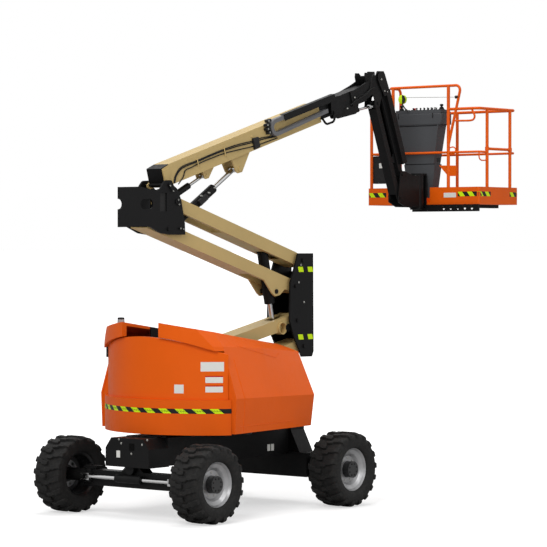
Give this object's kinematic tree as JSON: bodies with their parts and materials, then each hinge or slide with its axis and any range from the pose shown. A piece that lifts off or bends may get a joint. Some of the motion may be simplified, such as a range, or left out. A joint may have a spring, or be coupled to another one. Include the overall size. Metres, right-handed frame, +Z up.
{
  "type": "articulating boom lift",
  "caption": "Self-propelled articulating boom lift with a folding tower, telescopic main boom, jib and rotating work platform on four wheels.",
  "frame": {"origin": "on the ground below the slew axis", "axes": "+Z up, +X toward the drive axle and the platform, +Y to the left of someone facing +X"},
  "size_m": [6.5356, 2.34, 5.0209],
  "materials": {
    "beacon_amber": "clear amber",
    "black_steel": "satin black paint",
    "box_black": "textured",
    "console_grey": "textured",
    "engine_iron": "rough",
    "orange_iron": "gloss orange paint",
    "orange_plastic": "gloss orange",
    "orange_steel": "gloss orange paint",
    "rim_silver": "silver paint",
    "rod_chrome": "polished",
    "tan_steel": "tan paint",
    "tank_steel": "satin",
    "tyre": "ribbed rubber",
    "zinc": "zinc plated"
  },
  "bodies": {
    "chassis": {"chassis_frame": "black_steel", "drive_axle": "black_steel", "steer_axle": "black_steel", "steering_cylinder": "black_steel", "slew_bearing": "black_steel"},
    "steer_left": {"knuckle_left": "black_steel"},
    "steer_right": {"knuckle_right": "black_steel"},
    "tie": {"steering_rod": "rod_chrome"},
    "turntable": {"turntable_base": "black_steel", "counterweight": "orange_iron", "rear_panel": "orange_plastic", "engine_block": "engine_iron", "tank_block": "tank_steel"},
    "hood_left": {"hood_left": "orange_plastic"},
    "hood_right": {"hood_right": "orange_plastic", "beacon": "beacon_amber"},
    "lower_arm": {"lower_arm": "tan_steel"},
    "lower_link": {"lower_link": "tan_steel"},
    "mid_upright": {"mid_upright": "black_steel"},
    "upper_arm": {"upper_arm": "tan_steel"},
    "upper_link": {"upper_link": "tan_steel"},
    "upper_upright": {"upper_upright": "black_steel"},
    "tower_barrel": {"tower_cylinder_barrel": "black_steel"},
    "tower_rod": {"tower_cylinder_rod": "rod_chrome"},
    "main_boom": {"main_boom": "tan_steel", "boom_rear_cap": "black_steel", "hose_carrier": "zinc"},
    "fly_boom": {"fly_boom": "black_steel", "carrier_cover": "black_steel"},
    "lift_barrel": {"lift_cylinder_barrel": "black_steel"},
    "lift_rod": {"lift_cylinder_rod": "rod_chrome"},
    "level_barrel": {"level_cylinder_barrel": "black_steel"},
    "level_rod": {"level_cylinder_rod": "rod_chrome"},
    "slave_barrel": {"slave_cylinder_barrel": "black_steel"},
    "slave_rod": {"slave_cylinder_rod": "rod_chrome"},
    "jib_base": {"jib_base": "black_steel"},
    "jib_arm": {"jib_arm": "black_steel"},
    "jib_link": {"jib_link": "black_steel"},
    "jib_barrel": {"jib_cylinder_barrel": "black_steel"},
    "jib_rod": {"jib_cylinder_rod": "rod_chrome"},
    "jib_head": {"jib_head": "black_steel", "rotator": "black_steel"},
    "platform": {"platform_support": "black_steel", "platform_floor": "orange_steel", "toe_boards": "orange_steel", "platform_rails": "orange_steel", "console": "console_grey", "console_cover": "console_grey", "manual_box": "box_black"},
    "gate": {"gate_bar": "orange_steel"},
    "wheel_drive_left": {"tyre_drive_left": "tyre", "rim_drive_left": "rim_silver"},
    "wheel_drive_right": {"tyre_drive_right": "tyre", "rim_drive_right": "rim_silver"},
    "wheel_steer_left": {"tyre_steer_left": "tyre", "rim_steer_left": "rim_silver"},
    "wheel_steer_right": {"tyre_steer_right": "tyre", "rim_steer_right": "rim_silver"}
  },
  "joints": [
    {"name": "steer_left", "type": "hinge", "parent": "chassis", "child": "steer_left", "pos_m": [-1.17, -0.68, 0.42], "axis": [0, 0, 1], "range_deg": [-33, 33]},
    {"name": "steer_right", "type": "hinge", "parent": "chassis", "child": "steer_right", "pos_m": [-1.17, 0.68, 0.42], "axis": [0, 0, 1], "range_deg": [-33, 33]},
    {"name": "steering_rod", "type": "slide", "parent": "chassis", "child": "tie", "axis": [0, 1, 0], "range_m": [-0.073, 0.073]},
    {"name": "roll_drive_left", "type": "hinge", "parent": "chassis", "child": "wheel_drive_left", "pos_m": [1.17, -0.9825, 0.42], "axis": [0, 1, 0], "continuous": true},
    {"name": "roll_drive_right", "type": "hinge", "parent": "chassis", "child": "wheel_drive_right", "pos_m": [1.17, 0.9825, 0.42], "axis": [0, 1, 0], "continuous": true},
    {"name": "roll_steer_left", "type": "hinge", "parent": "steer_left", "child": "wheel_steer_left", "pos_m": [-1.17, -0.9825, 0.42], "axis": [0, 1, 0], "continuous": true},
    {"name": "roll_steer_right", "type": "hinge", "parent": "steer_right", "child": "wheel_steer_right", "pos_m": [-1.17, 0.9825, 0.42], "axis": [0, 1, 0], "continuous": true},
    {"name": "slew", "type": "hinge", "parent": "chassis", "child": "turntable", "pos_m": [0, 0, 0.862], "axis": [0, 0, 1], "range_deg": [-180, 180]},
    {"name": "hood_left", "type": "hinge", "parent": "turntable", "child": "hood_left", "pos_m": [0, -0.262, 1.93939], "axis": [-0.9901, 0, 0.1401], "range_deg": [0, 65]},
    {"name": "hood_right", "type": "hinge", "parent": "turntable", "child": "hood_right", "pos_m": [0, 0.262, 1.93939], "axis": [0.9901, 0, -0.1401], "range_deg": [0, 65]},
    {"name": "tower_raise", "type": "hinge", "parent": "turntable", "child": "lower_arm", "pos_m": [-0.8, 0, 1.61], "axis": [0, -1, 0], "range_deg": [-12, 54]},
    {"name": "lower_link", "type": "hinge", "parent": "turntable", "child": "lower_link", "pos_m": [-0.678, 0, 1.312], "axis": [0, -1, 0], "range_deg": [-12, 54]},
    {"name": "mid_upright", "type": "hinge", "parent": "lower_arm", "child": "mid_upright", "pos_m": [1.37602, 0, 2.06459], "axis": [0, -1, 0], "range_deg": [-54, 12]},
    {"name": "upper_arm", "type": "hinge", "parent": "mid_upright", "child": "upper_arm", "pos_m": [1.47502, 0, 2.75359], "axis": [0, -1, 0], "range_deg": [-54, 12]},
    {"name": "upper_link", "type": "hinge", "parent": "mid_upright", "child": "upper_link", "pos_m": [1.34502, 0, 2.45959], "axis": [0, -1, 0], "range_deg": [-54, 12]},
    {"name": "upper_upright", "type": "hinge", "parent": "upper_arm", "child": "upper_upright", "pos_m": [-0.71909, 0, 3.3952], "axis": [0, -1, 0], "range_deg": [-12, 54]},
    {"name": "tower_barrel", "type": "hinge", "parent": "upper_link", "child": "tower_barrel", "pos_m": [1.0507, 0, 2.40084], "axis": [0, -1, 0], "range_deg": [-14, 56]},
    {"name": "tower_rod", "type": "slide", "parent": "tower_barrel", "child": "tower_rod", "axis": [0.2196, 0, -0.9756], "range_m": [-0.1062, 0.4604]},
    {"name": "main_boom_lift", "type": "hinge", "parent": "upper_upright", "child": "main_boom", "pos_m": [-0.83809, 0, 3.5782], "axis": [0, -1, 0], "range_deg": [-19, 58]},
    {"name": "fly_extend", "type": "slide", "parent": "main_boom", "child": "fly_boom", "axis": [0.9588, 0, 0.284], "range_m": [0, 1.7]},
    {"name": "lift_barrel", "type": "hinge", "parent": "upper_upright", "child": "lift_barrel", "pos_m": [-0.64109, 0, 3.1092], "axis": [0, -1, 0], "range_deg": [-18, 51]},
    {"name": "lift_rod", "type": "slide", "parent": "lift_barrel", "child": "lift_rod", "axis": [0.8498, 0, 0.5272], "range_m": [-0.1515, 0.4523]},
    {"name": "level_barrel", "type": "hinge", "parent": "upper_upright", "child": "level_barrel", "pos_m": [-0.71909, 0, 3.3952], "axis": [0, -1, 0], "range_deg": [-19, 56]},
    {"name": "level_rod", "type": "slide", "parent": "level_barrel", "child": "level_rod", "axis": [0.9032, 0, 0.4293], "range_m": [-0.0735, 0.2142]},
    {"name": "jib_base", "type": "hinge", "parent": "fly_boom", "child": "jib_base", "pos_m": [2.87248, 0, 4.79726], "axis": [0, -1, 0], "range_deg": [-58, 19]},
    {"name": "slave_barrel", "type": "hinge", "parent": "fly_boom", "child": "slave_barrel", "pos_m": [2.31614, 0, 4.45725], "axis": [0, -1, 0], "range_deg": [-3, 7]},
    {"name": "slave_rod", "type": "slide", "parent": "slave_barrel", "child": "slave_rod", "axis": [0.9805, 0, 0.1963], "range_m": [-0.2287, 0.0783]},
    {"name": "jib_lift", "type": "hinge", "parent": "jib_base", "child": "jib_arm", "pos_m": [3.08248, 0, 4.91726], "axis": [0, -1, 0], "range_deg": [-7, 134]},
    {"name": "jib_link", "type": "hinge", "parent": "jib_base", "child": "jib_link", "pos_m": [3.04248, 0, 4.63226], "axis": [0, -1, 0], "range_deg": [-7, 134]},
    {"name": "jib_head", "type": "hinge", "parent": "jib_arm", "child": "jib_head", "pos_m": [3.5395, 0, 3.78609], "axis": [0, -1, 0], "range_deg": [-134, 7]},
    {"name": "jib_barrel", "type": "hinge", "parent": "jib_base", "child": "jib_barrel", "pos_m": [3.04248, 0, 4.63226], "axis": [0, -1, 0], "range_deg": [-8, 130]},
    {"name": "jib_rod", "type": "slide", "parent": "jib_barrel", "child": "jib_rod", "axis": [0.4577, 0, -0.8891], "range_m": [-0.0323, 0.5277]},
    {"name": "platform_rotate", "type": "hinge", "parent": "jib_head", "child": "platform", "pos_m": [3.9295, 0, 3.78609], "axis": [0, 0, 1], "range_deg": [-90, 90]},
    {"name": "gate", "type": "slide", "parent": "platform", "child": "gate", "axis": [0, 0, 1], "range_m": [0, 0.33]}
  ],
  "couplings": [
    {"joint": "steer_right", "follows": "steer_left", "ratio": 1},
    {"joint": "steering_rod", "follows": "steer_left", "m_per_rad": -0.1181},
    {"joint": "lower_link", "follows": "tower_raise", "ratio": 1},
    {"joint": "mid_upright", "follows": "tower_raise", "ratio": -1},
    {"joint": "upper_arm", "follows": "tower_raise", "ratio": -1},
    {"joint": "upper_link", "follows": "tower_raise", "ratio": -1},
    {"joint": "upper_upright", "follows": "tower_raise", "ratio": 1},
    {"joint": "tower_barrel", "follows": "tower_raise", "ratio": 1.0064},
    {"joint": "tower_rod", "follows": "tower_raise", "m_per_rad": 0.4832},
    {"joint": "lift_barrel", "follows": "main_boom_lift", "ratio": 0.8475},
    {"joint": "lift_rod", "follows": "main_boom_lift", "m_per_rad": 0.4419},
    {"joint": "level_barrel", "follows": "main_boom_lift", "ratio": 0.9449},
    {"joint": "level_rod", "follows": "main_boom_lift", "m_per_rad": 0.2067},
    {"joint": "jib_base", "follows": "main_boom_lift", "ratio": -1},
    {"joint": "slave_barrel", "follows": "main_boom_lift", "ratio": 0.0882},
    {"joint": "slave_rod", "follows": "main_boom_lift", "m_per_rad": -0.221},
    {"joint": "jib_link", "follows": "jib_lift", "ratio": 1},
    {"joint": "jib_head", "follows": "jib_lift", "ratio": -1},
    {"joint": "jib_barrel", "follows": "jib_lift", "ratio": 0.9624},
    {"joint": "jib_rod", "follows": "jib_lift", "m_per_rad": 0.2235}
  ]
}
